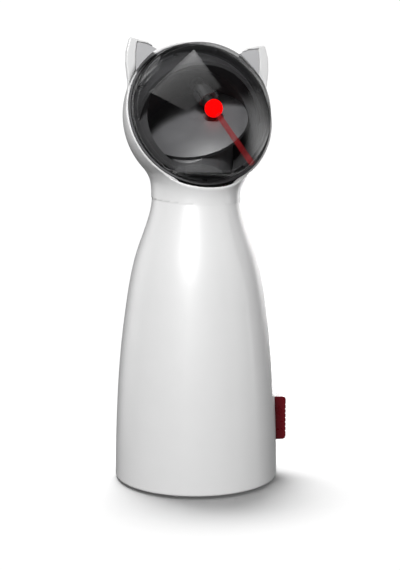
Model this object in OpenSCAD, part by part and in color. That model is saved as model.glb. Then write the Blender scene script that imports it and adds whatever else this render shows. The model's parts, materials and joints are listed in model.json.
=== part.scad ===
// Automatic cat laser toy with cat ears, smoky dome and turning laser turret
// Units are millimetres, +Z is up, the front (dome side) faces -Y.
// The origin is the centre of the foot circle on the floor.

/* [Body shell] */
// Radius of the white shell at its foot
base_r = 39.5; // [34:0.5:46]
// Height of the narrowest point of the neck
neck_z = 137; // [115:1:160]
// Radius of the neck at its narrowest point
neck_r = 21.4; // [20.6:0.2:24]
// Wall thickness of the white shell
wall = 2.2; // [1.8:0.1:2.6]
// Height of the shell's lower edge above the floor
lift = 1; // [0.6:0.1:1.4]
// Distance of the seam plane behind the body axis
split_y = 14; // [12:0.5:16]

/* [Head and ears] */
// Outer radius of the round head
head_r = 36; // [35:0.2:40]
// Forward lean of the head over the neck
head_lean = 7.4; // [4:0.2:9]
// Upward tilt of the dome axis
dome_tilt = 15; // [12:0.5:17]
// Height of the ear tips above the head centre
ear_rise = 34.7; // [32:0.5:40]

/* [Laser turret] */
// Radius of the slanted turret dish
dish_r = 25; // [21:0.2:25.4]
// Slant of the dish against the floor
dish_slant = 43; // [36:1:46]
// Direction the dish faces in the rest pose, from the front
turret_az = -31; // [-60:1:60]
// Direction the laser points, measured from the dish
laser_az = 62.4; // [40:0.2:75]
// Downward tilt of the laser in the rest pose
laser_dip = 49.5; // [40:0.5:60]
// Radius of the red lens ball
lens_r = 4.3; // [3.8:0.1:4.8]

/* [Speed key] */
// Height of the key's middle above the floor
key_z = 27.4; // [26:0.2:34]
// Direction of the key from the front
key_az = 80; // [76:1:96]
// Height of the red key
key_h = 21.4; // [16:0.2:22]
// Width of the red key
key_w = 7; // [6:0.1:8.4]
// Key travel to each side of the middle position
key_travel = 2.5; // [1.5:0.1:3]

/* [Power] */
// Radius of the battery cell
cell_r = 9.2; // [7:0.1:9.3]
// Length of the battery cell
cell_h = 65; // [48:1:70]

/* [Hidden] */
$fn = 72;
eps = 0.01;
white = [0.93, 0.93, 0.92];
black = [0.09, 0.09, 0.10];
grey = [0.55, 0.55, 0.56];
// widths of the body at its marked heights
k_z = neck_z / 137;
k_r = (base_r - neck_r) / 18.1;
hip_z = 45 * k_z;
waist_z = 80 * k_z;
shoulder_z = 110 * k_z;
hip_r = neck_r + 16.6 * k_r;
waist_r = neck_r + 13.1 * k_r;
shoulder_r = neck_r + 7.2 * k_r;
slope = k_r / k_z;
// head built round an axis that leans forward from the neck
head_rise = head_r * 1.0361;
nr = neck_r - 0.3;
sink = 0.05;
ra = head_r - sink;
neck_arc = (nr * nr + head_rise * head_rise - ra * ra) / (2 * (ra - nr));
arc_d = norm([nr + neck_arc, head_rise]);
head_c = [0, -head_rise * sin(head_lean), neck_z + head_rise * cos(head_lean)];
// dome seat, measured along the dome axis from the head centre
rim_c = 3.3;
seat_c = -1.7;
bore_r = head_r - 1.15;
skirt_or = bore_r - 0.1;
skirt_ir = skirt_or - 0.75;
dome_r = skirt_ir - 0.05;
dome_t = 1.5;
mask_r = dome_r - dome_t - 0.6;
screw_ring = mask_r - 1.6;
// turret stack on the body axis
dish_z = head_c[2] - 3;
sweep_r = dish_r + 0.9;
cup_r = 17.8;
cup_z = 147 + (neck_z - 137);
deck_z = neck_z - 0.5;
deck_t = 2.5;
deck_r = neck_r - wall - 1.0;
post_r = 4;
post_top = dish_z - 13;
hub_r = 5.6;
dish_R = 80;
dish_t = 1.6;
dish_sag = dish_R - sqrt(dish_R * dish_R - dish_r * dish_r);
gear_m = 0.8;
gear_n = 20;
pin_n = 9;
gear_gap = gear_m * (gear_n + pin_n) / 2 + 0.12;
gear_z = deck_z + 0.5;
gear_h = 3.5;
arm_reach = 9;
tilt_max = 15;
pin_r = 1.1;
arm_px = 7.6;
arm_py = 8.2;
hinge_out = 5.2;
hinge_up = 13.2;
// slide key
pad_x = 35;
key_out = base_r + 4.8;
slot_h = key_h + 2 * key_travel + 0.6;
flange_h = slot_h + 2 * key_travel + 2.6;
sw_x = 25;
// inner frame
leg_x = deck_r - 3.6;
web_t = 2.4;
frame_z0 = 9.6;
cell_y = cell_r + web_t / 2 + 1.0;
cell_z = 12.2;
board_y = -6.6;
board_t = 1.6;
foot_z = 1.2;
pad_ir = 20.6;
pad_or = 27.6;
plate_t = 2;
plate_r = base_r - wall - 0.4;

// ---------- shape helpers ----------
function herm(t, a, b, ma, mb, h) =
    a * (2 * t * t * t - 3 * t * t + 1) + ma * h * (t * t * t - 2 * t * t + t)
    + b * (3 * t * t - 2 * t * t * t) + mb * h * (t * t * t - t * t);

function body_r(z) =
    z <= 0 ? base_r :
    z < hip_z ? herm(z / hip_z, base_r, hip_r, -0.01 * slope, -0.06 * slope, hip_z) :
    z < waist_z ? herm((z - hip_z) / (waist_z - hip_z), hip_r, waist_r,
        -0.06 * slope, -0.14 * slope, waist_z - hip_z) :
    z < shoulder_z ? herm((z - waist_z) / (shoulder_z - waist_z), waist_r, shoulder_r,
        -0.14 * slope, -0.31 * slope, shoulder_z - waist_z) :
    z < neck_z ? herm((z - shoulder_z) / (neck_z - shoulder_z), shoulder_r, neck_r,
        -0.31 * slope, 0, neck_z - shoulder_z) : neck_r;

module body_solid(inset) {
    lo = inset > 0 ? -1 : lift;
    hi = inset > 0 ? neck_z + 0.3 : neck_z;
    n = 28;
    rotate_extrude()
    polygon(concat([[0, lo], [base_r - inset - (inset > 0 ? 0 : 0.8), lo]],
        [for (i = [0:n]) let (z = lift + 0.8 + (neck_z - lift - 0.8) * i / n)
            [body_r(z) - inset, z]],
        [[neck_r - inset, hi], [0, hi]]));
}

module head_frame() {
    translate([0, 0, neck_z])
    rotate([head_lean, 0, 0])
    children();
}

module head_solid(inset) {
    r = ra - inset;
    tr = r * (nr + neck_arc) / arc_d;
    tz = head_rise - r * head_rise / arc_d;
    intersection() {
        head_frame() {
            translate([0, 0, head_rise]) sphere(r = head_r - inset);
            rotate_extrude()
            difference() {
                square([tr, tz]);
                translate([nr + neck_arc, 0]) circle(r = neck_arc + inset);
            }
            translate([0, 0, -5]) cylinder(r = nr - inset, h = 5.5);
        }
        translate([-60, -60, neck_z - (inset > 0 ? 0.4 : 0.1)]) cube([120, 120, 120]);
    }
}

// frame of the dome: +Z runs out along the dome axis, +Y up the face
module dome_frame() {
    translate(head_c)
    rotate([90 - dome_tilt, 0, 0])
    children();
}

module head_ball(r) {
    translate(head_c) sphere(r = r);
}

module ear_blob(inset, side) {
    hull() {
        for (p = [[32.6, -3.2, ear_rise - 1, 1], [33.1, -3.0, 24.5, 2.2],
                [31.6, -2.2, 13.6, 3.2], [24.2, -3.2, ear_rise - 3.4, 2.2],
                [19.4, -2.2, 27, 2.6], [22, 7.5, 16, 4.5], [24, 5, 25, 3]])
        translate([side * p[0], p[1], head_c[2] + p[2]])
        sphere(r = max(0.4, p[3] - inset), $fn = 20);
    }
}

module outer_skin() {
    body_solid(0);
    head_solid(0);
}

module inner_skin() {
    body_solid(wall);
    head_solid(wall);
}

module dome_opening() {
    dome_frame() {
        translate([0, 0, seat_c]) cylinder(r = bore_r, h = 60);
        translate([0, 0, rim_c]) cylinder(r = head_r + 0.1, h = 60);
    }
}

module ear_panel(side, grow, deep) {
    // flat outline of the sunken ear panel
    translate([0, 0, head_c[2]])
    rotate([90, 0, 0])
    linear_extrude(height = deep)
    polygon([[side * (30.2 + grow), 15 - grow], [side * (30.6 + grow), 22],
        [side * (30.6 + grow), 28], [side * (29.9 + grow), 32.8 + grow],
        [side * 24.6, 32 + grow], [side * (20.4 - grow), 30.1 + grow], [side * (16 - grow), 22]]);
}

module ear_recess(side) {
    difference() {
        translate([0, -3.9, 0]) ear_panel(side, 0, 6);
        head_ball(head_r + 0.2);
    }
}

// frame of the slide key: +X runs outward through the key
module key_frame() {
    rotate([0, 0, key_az - 90])
    translate([0, 0, key_z])
    children();
}

module turret_frame() {
    rotate([0, 0, turret_az])
    children();
}

// frame of the dish rim: +Z stands on the dish
module dish_frame() {
    turret_frame()
    translate([0, 0, dish_z])
    rotate([dish_slant, 0, 0])
    children();
}

// frame of the laser hinge: +X is the hinge axis
module hinge_frame() {
    turret_frame()
    rotate([0, 0, laser_az])
    translate([0, -hinge_out, dish_z + hinge_up])
    children();
}

module laser_frame() {
    hinge_frame()
    rotate([90 + laser_dip, 0, 0])
    children();
}

function gear_pts(n, m) = [for (i = [0:n - 1], k = [0:3])
    let (p = 360 / n, a = p * i + [-0.33, -0.12, 0.12, 0.33][k] * p,
        r = m * n / 2 + ((k == 1 || k == 2) ? m * 0.95 : -m * 1.15))
    [r * cos(a), r * sin(a)]];

module spur(n, m, h, bore) {
    linear_extrude(height = h)
    difference() {
        polygon(gear_pts(n, m));
        circle(r = bore);
    }
}

module screw(r, len, cap_r, cap_h) {
    // pan head screw, head on top at z = 0 .. cap_h, point down
    difference() {
        union() {
            translate([0, 0, -len]) cylinder(r = r, h = len + eps);
            cylinder(r = cap_r, h = cap_h);
        }
        translate([-cap_r * 0.6, -0.25, cap_h * 0.45]) cube([cap_r * 1.2, 0.5, cap_h]);
        translate([-0.25, -cap_r * 0.6, cap_h * 0.45]) cube([0.5, cap_r * 1.2, cap_h]);
    }
}

module lead(pts, r) {
    n = len(pts) - 1;
    for (i = [0:n - 1]) {
        v = pts[i + 1] - pts[i];
        a = i > 0 ? 0.7 * r : 0;
        b = i < n - 1 ? 0.7 * r : 0;
        translate(pts[i] - a * v / norm(v))
        rotate([0, acos(v[2] / norm(v)), atan2(v[1], v[0])])
        cylinder(r = i % 2 == 0 ? r : r * 0.92, h = norm(v) + a + b);
    }
}

// ---------- positions shared by mating parts ----------
mask_angles = [72.4, 107.6, 24, 156];
slot_angles = [-124, -56];
function lug_x(z, cy, r) = sqrt(r * r - (split_y - cy) * (split_y - cy)) - 2.3;
lugs = [[lug_x(24, 0, body_r(24) - wall), 24],
    [lug_x(92 * k_z, 0, body_r(92 * k_z) - wall), 92 * k_z]];
frame_pts = [[10.2, 68 * k_z], [10.2, 110 * k_z]];
base_front = [[25, -20], [-25, -20]];
base_rear = [[15, 28], [-15, 28]];
board_pts = [[12, 19], [12, 59]];

// ---------- white housing ----------
module front_shell() {
    color(white)
    difference() {
        union() {
            intersection() {
                difference() {
                    outer_skin();
                    inner_skin();
                }
                translate([-80, -80, -5]) cube([160, 80 + split_y, 260]);
            }
            for (s = [-1, 1]) difference() {
                ear_blob(0, s);
                head_ball(head_r - 1);
            }
            front_bosses();
        }
        for (s = [-1, 1]) difference() {
            ear_blob(2, s);
            translate([-60, -60, 0]) cube([120, 58.1, 250]);
        }
        for (s = [-1, 1]) ear_recess(s);
        dome_opening();
        front_holes();
    }
}

module front_bosses() {
    intersection() {
        union() {
            // lugs for the rear cover screws
            for (s = [-1, 1], p = lugs)
            translate([s * p[0], split_y - 11, p[1]])
            rotate([-90, 0, 0])
            cylinder(r = 3.4, h = 10.9);
            // posts for the inner frame
            for (s = [-1, 1], p = frame_pts)
            translate([s * p[0], -web_t / 2 - 0.1, p[1]])
            rotate([90, 0, 0])
            cylinder(r1 = 2.9, r2 = 3.6, h = 40);
            // bosses for the base screws
            for (p = base_front) translate([0, 0, 3.6]) {
                translate([p[0], p[1], 0]) cylinder(r = 3.3, h = 11);
                rotate([0, 0, atan2(p[1], p[0])])
                translate([norm(p), -1, 0.3])
                cube([10, 2, 10.2]);
            }
            // bosses for the mask screws
            dome_frame()
            for (a = mask_angles) rotate([0, 0, a]) {
                translate([screw_ring, 0, -14]) cylinder(r = 2.5, h = 10.6);
                translate([screw_ring, -0.8, -14]) cube([8, 1.6, 10.5]);
            }
            // pad and posts behind the slide key
            key_frame() {
                translate([pad_x, -11.4, -flange_h / 2 - 3]) cube([6, 22.8, flange_h + 6]);
                for (s = [-1, 1])
                translate([sw_x + board_t + 0.1, s * 9.2, 0])
                rotate([0, 90, 0])
                cylinder(r = 2.2, h = 12);
                for (s = [-1, 1])
                translate([pad_x - 1.4, s * 7.7 - 0.6, -flange_h / 2])
                cube([3, 1.2, flange_h]);
            }
        }
        union() {
            body_solid(0.6);
            head_ball(head_r - 0.6);
        }
        translate([-80, -80, -5]) cube([160, 80 + split_y - 0.05, 260]);
    }
}

module front_holes() {
    for (s = [-1, 1], p = lugs)
    translate([s * p[0], split_y - 9, p[1]])
    rotate([-90, 0, 0])
    cylinder(r = 1.2, h = 12);
    for (s = [-1, 1], p = frame_pts)
    translate([s * p[0], 0, p[1]])
    rotate([90, 0, 0])
    cylinder(r = 1.1, h = 11);
    for (p = base_front)
    translate([p[0], p[1], 2])
    cylinder(r = 1.1, h = 10);
    dome_frame()
    for (a = mask_angles) rotate([0, 0, a])
    translate([screw_ring, 0, -11])
    cylinder(r = 0.8, h = 12);
    key_frame() {
        translate([30, -key_w / 2 - 0.3, -slot_h / 2]) cube([14, key_w + 0.6, slot_h]);
        for (s = [-1, 1])
        translate([sw_x, s * 9.2, 0])
        rotate([0, 90, 0])
        cylinder(r = 0.8, h = 8);
    }
}

module rear_cover() {
    color(white)
    difference() {
        union() {
            intersection() {
                difference() {
                    outer_skin();
                    inner_skin();
                }
                translate([-80, split_y + 0.12, -5]) cube([160, 80, 260]);
            }
            // tongues that hook under the front half of the head
            intersection() {
                difference() {
                    head_ball(head_r - wall + 0.4);
                    head_ball(head_r - wall - 1.5);
                }
                for (a = [0, 98, -98])
                translate(head_c)
                rotate([0, a, 0])
                translate([-5, split_y - head_c[1] - 4, 20])
                cube([10, 9, 20]);
                union() {
                    head_ball(head_r - wall - 0.15);
                    translate([-60, split_y + 0.12, 100]) cube([120, 60, 150]);
                }
            }
            intersection() {
                union() {
                    for (s = [-1, 1], p = lugs)
                    translate([s * p[0], split_y + 0.12, p[1]])
                    rotate([-90, 0, 0])
                    cylinder(r = 3.4, h = 20);
                    for (p = base_rear) translate([0, 0, 3.6]) {
                        translate([p[0], p[1], 0]) cylinder(r = 3.3, h = 11);
                        rotate([0, 0, atan2(p[1], p[0])])
                        translate([norm(p), -1, 0.3])
                        cube([10, 2, 10.2]);
                    }
                    // shelf under the charging board
                    translate([-9, 25.5, 16.2]) cube([18, 20, 2.4]);
                    for (s = [-1, 1])
                    translate([s * 8 - 0.9, 25.5, 9])
                    cube([1.8, 20, 8]);
                }
                union() {
                    body_solid(0.6);
                    head_ball(head_r - 0.6);
                }
            }
        }
        for (s = [-1, 1], p = lugs)
        translate([s * p[0], split_y - 1, p[1]])
        rotate([-90, 0, 0]) {
            cylinder(r = 1.6, h = 20);
            translate([0, 0, 4]) cylinder(r = 3, h = 30);
        }
        for (p = base_rear)
        translate([p[0], p[1], 2])
        cylinder(r = 1.1, h = 10);
        // charging port, flap recess and light hole
        translate([-4.8, 30, 18.9]) cube([9.6, 14, 4.4]);
        translate([-8.6, base_r - 1.55, 16.2]) cube([17.2, 6, 9.8]);
        translate([-9.5, base_r - 0.85, 17.2]) rotate([0, 90, 0]) cylinder(r = 0.56, h = 19);
        translate([0, 30, 33]) rotate([-90, 0, 0]) cylinder(r = 1.3, h = 14);
        for (s = [-1, 1])
        translate([s * 6.6, 28, 15])
        cylinder(r = 0.8, h = 6);
        // row of small air slits behind the turret
        for (i = [-2:2])
        translate([i * 5 - 0.8, 10, head_c[2] - 6])
        cube([1.6, 40, 12]);
    }
}

module ear_insert(side) {
    difference() {
        intersection() {
            translate([0, -3.98, 0]) ear_panel(side, -0.12, 0.9);
            ear_blob(-0.5, side);
        }
        head_ball(head_r + 0.3);
    }
}

module ear_insert_left() {
    color([0.72, 0.73, 0.74]) ear_insert(-1);
}

module ear_insert_right() {
    color([0.72, 0.73, 0.74]) ear_insert(1);
}

// ---------- foot ----------
module base_plate() {
    color(white)
    difference() {
        union() {
            translate([0, 0, foot_z]) cylinder(r = plate_r, h = plate_t);
            for (a = [0:60:300]) rotate([0, 0, a + 30])
            translate([26, -0.8, foot_z + plate_t - eps])
            cube([plate_r - 29.5, 1.6, 3]);
            translate([0, 0, foot_z + plate_t - eps])
            difference() {
                cylinder(r = 27.2, h = 3);
                translate([0, 0, -1]) cylinder(r = 25.7, h = 6);
            }
        }
        for (p = concat(base_front, base_rear)) translate([p[0], p[1], 0]) {
            cylinder(r = 1.5, h = 8);
            translate([0, 0, -1]) cylinder(r = 2.9, h = foot_z + 2);
            translate([0, 0, foot_z + plate_t]) cylinder(r = 4, h = 8);
        }
        // groove for the rubber foot
        difference() {
            translate([0, 0, -1]) cylinder(r = pad_or + 0.1, h = foot_z + 1.8);
            translate([0, 0, -2]) cylinder(r = pad_ir - 0.1, h = 10);
        }
        for (s = [-1, 1]) translate([s * 16, 0, 0]) {
            translate([0, 0, -1]) cylinder(r = 2.6, h = foot_z + 2);
            cylinder(r = 1.3, h = 8);
        }
    }
}

module rubber_foot() {
    color([0.12, 0.12, 0.13])
    difference() {
        cylinder(r = pad_or, h = foot_z + 0.75);
        translate([0, 0, -1]) cylinder(r = pad_ir, h = 10);
        // groove that splits the foot into two lips
        translate([0, 0, -1]) difference() {
            cylinder(r = pad_ir + 4.2, h = 1.6);
            translate([0, 0, -1]) cylinder(r = pad_ir + 2.8, h = 4);
        }
    }
}

module ballast() {
    color([0.45, 0.46, 0.48])
    translate([0, 0, foot_z + plate_t + 0.05])
    difference() {
        cylinder(r = 25.4, h = 5);
        translate([0, 0, -1]) cylinder(r = 5, h = 8);
        for (s = [-1, 1]) translate([s * 16, 0, -1]) cylinder(r = 1.25, h = 8);
    }
}

module ballast_screws() {
    color([0.7, 0.7, 0.72])
    for (s = [-1, 1])
    translate([s * 16, 0, foot_z + 0.95])
    rotate([180, 0, 0])
    screw(1.2, 6, 2.3, 0.8);
}

module base_screws() {
    color([0.7, 0.7, 0.72])
    for (p = concat(base_front, base_rear))
    translate([p[0], p[1], foot_z + 0.95])
    rotate([180, 0, 0])
    screw(1.08, 9, 2.6, 0.85);
}

// ---------- dome, bezel and mask ----------
module dome() {
    color([0.16, 0.16, 0.18, 0.45])
    dome_frame()
    intersection() {
        difference() {
            sphere(r = dome_r);
            sphere(r = dome_r - dome_t);
        }
        translate([0, 0, -0.2]) cylinder(r = dome_r + 5, h = dome_r + 5);
    }
}

module bezel_ring() {
    color(black)
    dome_frame()
    difference() {
        translate([0, 0, seat_c + 0.15]) cylinder(r = skirt_or, h = rim_c - seat_c + 0.1);
        translate([0, 0, -0.25]) cylinder(r = skirt_ir, h = 10);
        translate([0, 0, -10]) cylinder(r = mask_r + 0.25, h = 20);
        // finger notch and the two turn-lock notches
        rotate([0, 0, -90]) translate([mask_r - 0.5, -1.4, -5]) cube([1.6, 2.8, 8]);
        for (a = slot_angles) rotate([0, 0, a])
        translate([mask_r - 0.5, -3.4, -5])
        cube([1.5, 6.8, 8]);
    }
}

// sloping hood over the mouth: part of a ball, cut off by the plane of the lip
hood_back = 8.5;
hood_r = norm([mask_r - 0.75, hood_back]);
hood_t = 1.5;
lip_out = 2.6;
lip_turn = dome_tilt + 20;
bowl_t = 1.3;

module hood() {
    dome_frame()
    difference() {
        translate([0, 0, -hood_back]) sphere(r = hood_r);
        translate([0, 0, -hood_back]) sphere(r = hood_r - hood_t);
        translate([-60, -60, -120.7]) cube([120, 120, 120]);
        translate([0, 0, lip_out])
        rotate([lip_turn, 0, 0])
        translate([-60, -60, 0])
        cube([120, 120, 80]);
    }
}

// round bowl that the turret turns in, with a hole for its cup
module bowl() {
    difference() {
        translate([0, 0, dish_z]) sphere(r = sweep_r + bowl_t);
        dome_frame() translate([-60, -60, -0.1]) cube([120, 120, 100]);
        translate([0, 0, cup_z - 20]) cylinder(r = cup_r + 1.1, h = 33);
    }
}

module mask() {
    color(black)
    difference() {
        union() {
            hood();
            bowl();
            dome_frame() {
                // flat face round the mouth
                translate([0, 0, -1.4]) cylinder(r = mask_r - 0.8, h = 1.4);
                difference() {
                    union() {
                        translate([0, 0, -3.3]) cylinder(r = mask_r, h = 3.9);
                        translate([0, 0, -3.3]) cylinder(r = bore_r - 1.7, h = 1.5);
                    }
                    translate([0, 0, -10]) cylinder(r = mask_r - 1.7, h = 20);
                }
                for (a = mask_angles) rotate([0, 0, a])
                translate([screw_ring - 1.3, 0, -3.1])
                cylinder(r = 2.4, h = 2.6);
            }
        }
        translate([0, 0, dish_z]) sphere(r = sweep_r);
        translate([0, 0, cup_z - 0.9]) cylinder(r = cup_r + 0.7, h = 14);
        dome_frame() {
            for (a = mask_angles) rotate([0, 0, a])
            translate([screw_ring, 0, -10]) {
                cylinder(r = 0.9, h = 30);
                translate([0, 0, 8.6]) cylinder(r = 1.45, h = 30);
            }
            for (a = slot_angles) rotate([0, 0, a])
            translate([mask_r - 1.1, -3, -1.6])
            cube([5, 6, 8]);
            rotate([0, 0, -90]) translate([mask_r - 0.9, -1.2, -1.6]) cube([5, 2.4, 8]);
        }
    }
}

module mask_screws() {
    color([0.05, 0.05, 0.05])
    dome_frame()
    for (a = mask_angles) rotate([0, 0, a])
    translate([screw_ring, 0, -1.38])
    screw(0.78, 7, 1.3, 0.9);
}

// ---------- turret ----------
module dish_ball(r) {
    dish_frame()
    translate([0, 0, dish_sag - dish_R])
    sphere(r = r, $fn = 120);
}

// room that the lens needs as it tilts
module lens_sweep() {
    hinge_frame()
    rotate([0, 90, 0])
    rotate([0, 0, 180 - laser_dip - tilt_max])
    rotate_extrude(angle = 2 * tilt_max)
    translate([arm_reach, 0])
    circle(r = lens_r + 0.5);
    for (a = [-tilt_max, tilt_max])
    hinge_frame()
    rotate([90 + laser_dip + a, 0, 0])
    translate([0, 0, arm_reach])
    sphere(r = lens_r + 0.5);
}

module turret_cup() {
    color(black)
    difference() {
        intersection() {
            translate([0, 0, cup_z]) cylinder(r = cup_r, h = 60);
            dish_ball(dish_R - dish_t - 0.1);
        }
        intersection() {
            translate([0, 0, cup_z - 1]) cylinder(r = cup_r - 1.6, h = 60);
            dish_ball(dish_R - dish_t - 1.9);
        }
        dish_frame() translate([arm_px, arm_py, -8]) cylinder(r = 1.6, h = 20);
        lens_sweep();
    }
}

module turret_floor() {
    color(black)
    difference() {
        union() {
            translate([0, 0, cup_z + 0.2]) cylinder(r = cup_r - 1.65, h = 1.8);
            translate([0, 0, gear_z - 0.15]) cylinder(r = hub_r, h = post_top - gear_z - 0.15);
            for (a = [0:60:300]) rotate([0, 0, a])
            translate([hub_r - 0.3, -0.7, cup_z + 1.9])
            cube([3.2, 1.4, 3]);
        }
        translate([0, 0, gear_z - 2]) cylinder(r = post_r + 0.05, h = 60);
        translate([13, 0, cup_z - 1]) cylinder(r = 1.5, h = 6);
    }
}

module dish() {
    color([0.13, 0.13, 0.14])
    difference() {
        dish_frame()
        intersection() {
            difference() {
                translate([0, 0, dish_sag - dish_R]) sphere(r = dish_R, $fn = 120);
                translate([0, 0, dish_sag - dish_R]) sphere(r = dish_R - dish_t, $fn = 120);
                translate([arm_px, arm_py, -8]) cylinder(r = 1.6, h = 20);
            }
            translate([0, 0, -2]) cylinder(r = dish_r, h = 10, $fn = 96);
        }
        lens_sweep();
    }
}

module laser_arm() {
    color(black)
    difference() {
        union() {
            hinge_frame() {
                translate([5.1, 0, 0]) rotate([0, 90, 0]) cylinder(r = 2.8, h = 1.8);
                translate([5.1, -2.2, -hinge_up - 3.1]) cube([1.8, 4.4, hinge_up + 3.1]);
            }
            intersection() {
                dish_frame() translate([arm_px, arm_py, -4]) cylinder(r = 3.8, h = 9);
                dish_ball(dish_R + 1.1);
            }
        }
        dish_ball(dish_R + 0.08);
        hinge_frame() rotate([0, 90, 0]) {
            cylinder(r = pin_r + 0.05, h = 20);
            translate([0, 0, -5]) cylinder(r = 5.8, h = 10.05);
            translate([0, 0, 6.95]) cylinder(r = 2.7, h = 6);
        }
        dish_frame() translate([arm_px, arm_py, -4]) cylinder(r = 1.2, h = 7.2);
    }
}

module laser_barrel() {
    color([0.72, 0.58, 0.28])
    laser_frame()
    difference() {
        union() {
            translate([0, 0, -6.6]) cylinder(r = 3, h = arm_reach + 6.6 - 1.8);
            translate([0, 0, -7]) cylinder(r = 3.5, h = 1.6);
        }
        translate([0, 0, 3]) cylinder(r = 1.6, h = 10);
    }
}

module laser_sleeve() {
    color(black)
    laser_frame()
    difference() {
        union() {
            translate([0, 0, -3.2]) cylinder(r = 4.4, h = 6.4);
            rotate([0, 90, 0]) cylinder(r = 2.4, h = 5.0);
            rotate([0, 90, 0]) cylinder(r = pin_r, h = 8.2);
        }
        translate([0, 0, -8]) cylinder(r = 3.04, h = 16);
        translate([-6, -0.4, -8]) cube([4, 0.8, 16]);
    }
}

module laser_lens() {
    color([0.95, 0.02, 0.02])
    laser_frame()
    translate([0, 0, arm_reach])
    difference() {
        sphere(r = lens_r);
        translate([0, 0, -6]) cylinder(r = 3.05, h = 4.3);
    }
}

module laser_board() {
    color([0.05, 0.32, 0.14])
    laser_frame()
    translate([0, 0, -8.25])
    difference() {
        cylinder(r = 3.4, h = 1.2);
        for (s = [-1, 1]) translate([s * 1.6, 0, -1]) cylinder(r = 0.45, h = 3, $fn = 16);
    }
}

module tilt_knob() {
    color(grey)
    hinge_frame()
    translate([7.0, 0, 0])
    rotate([0, 90, 0])
    difference() {
        cylinder(r = 1.85, h = 1.2);
        translate([0, 0, -1]) cylinder(r = pin_r + 0.02, h = 4);
        for (a = [0:60:300]) rotate([0, 0, a])
        translate([1.9, 0, -1])
        cylinder(r = 0.25, h = 4, $fn = 16);
    }
}

module drive_gear() {
    color([0.85, 0.85, 0.8])
    rotate([0, 0, 90 + 180 / gear_n])
    translate([0, 0, gear_z])
    spur(gear_n, gear_m, gear_h, hub_r + 0.02);
}

module slip_rings() {
    color([0.80, 0.58, 0.22])
    for (i = [0, 1])
    translate([0, 0, gear_z + gear_h + 0.9 + i * 2.4])
    difference() {
        cylinder(r = hub_r + 0.7, h = 1.4);
        translate([0, 0, -1]) cylinder(r = hub_r + 0.02, h = 4);
    }
}

module thrust_washer() {
    color([0.9, 0.9, 0.88])
    translate([0, 0, deck_z + 0.02])
    difference() {
        cylinder(r = hub_r - 0.1, h = 0.28);
        translate([0, 0, -1]) cylinder(r = post_r + 0.1, h = 3);
    }
}

module turret_screw() {
    color([0.7, 0.7, 0.72])
    translate([0, 0, post_top + 0.05]) {
        difference() {
            cylinder(r = hub_r - 0.2, h = 0.6);
            translate([0, 0, -1]) cylinder(r = 1.1, h = 3);
        }
        translate([0, 0, 0.6]) screw(1.05, 8, 2.1, 1.2);
    }
}

// ---------- drive ----------
module pinion() {
    color([0.85, 0.78, 0.5])
    translate([0, gear_gap, gear_z])
    difference() {
        union() {
            rotate([0, 0, -90]) spur(pin_n, gear_m, gear_h, 0.6);
            translate([0, 0, -gear_z + deck_z - deck_t + 0.3]) cylinder(r = 1.45, h = 6);
        }
        translate([0, 0, gear_h - 1]) cylinder(r = 0.8, h = 2);
    }
}

module gear_motor() {
    color([0.68, 0.68, 0.70])
    translate([0, gear_gap, deck_z - deck_t - 0.05]) {
        difference() {
            translate([-6, -5, -9]) cube([12, 10, 9]);
            for (s = [-1, 1]) translate([s * 4.5, 0, -4]) cylinder(r = 0.7, h = 6);
            translate([0, 0, -1.6]) cylinder(r = 1.8, h = 3);
        }
        intersection() {
            translate([0, 0, -24]) cylinder(r = 6, h = 15.02);
            translate([-7, -4.95, -25]) cube([14, 9.9, 17]);
        }
        translate([0, 0, -25]) cylinder(r = 2.2, h = 1.1);
    }
}

module motor_screws() {
    color([0.7, 0.7, 0.72])
    for (s = [-1, 1])
    translate([s * 4.5, gear_gap, deck_z - 0.95])
    screw(0.68, 4.4, 1.3, 0.8);
}

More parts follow.
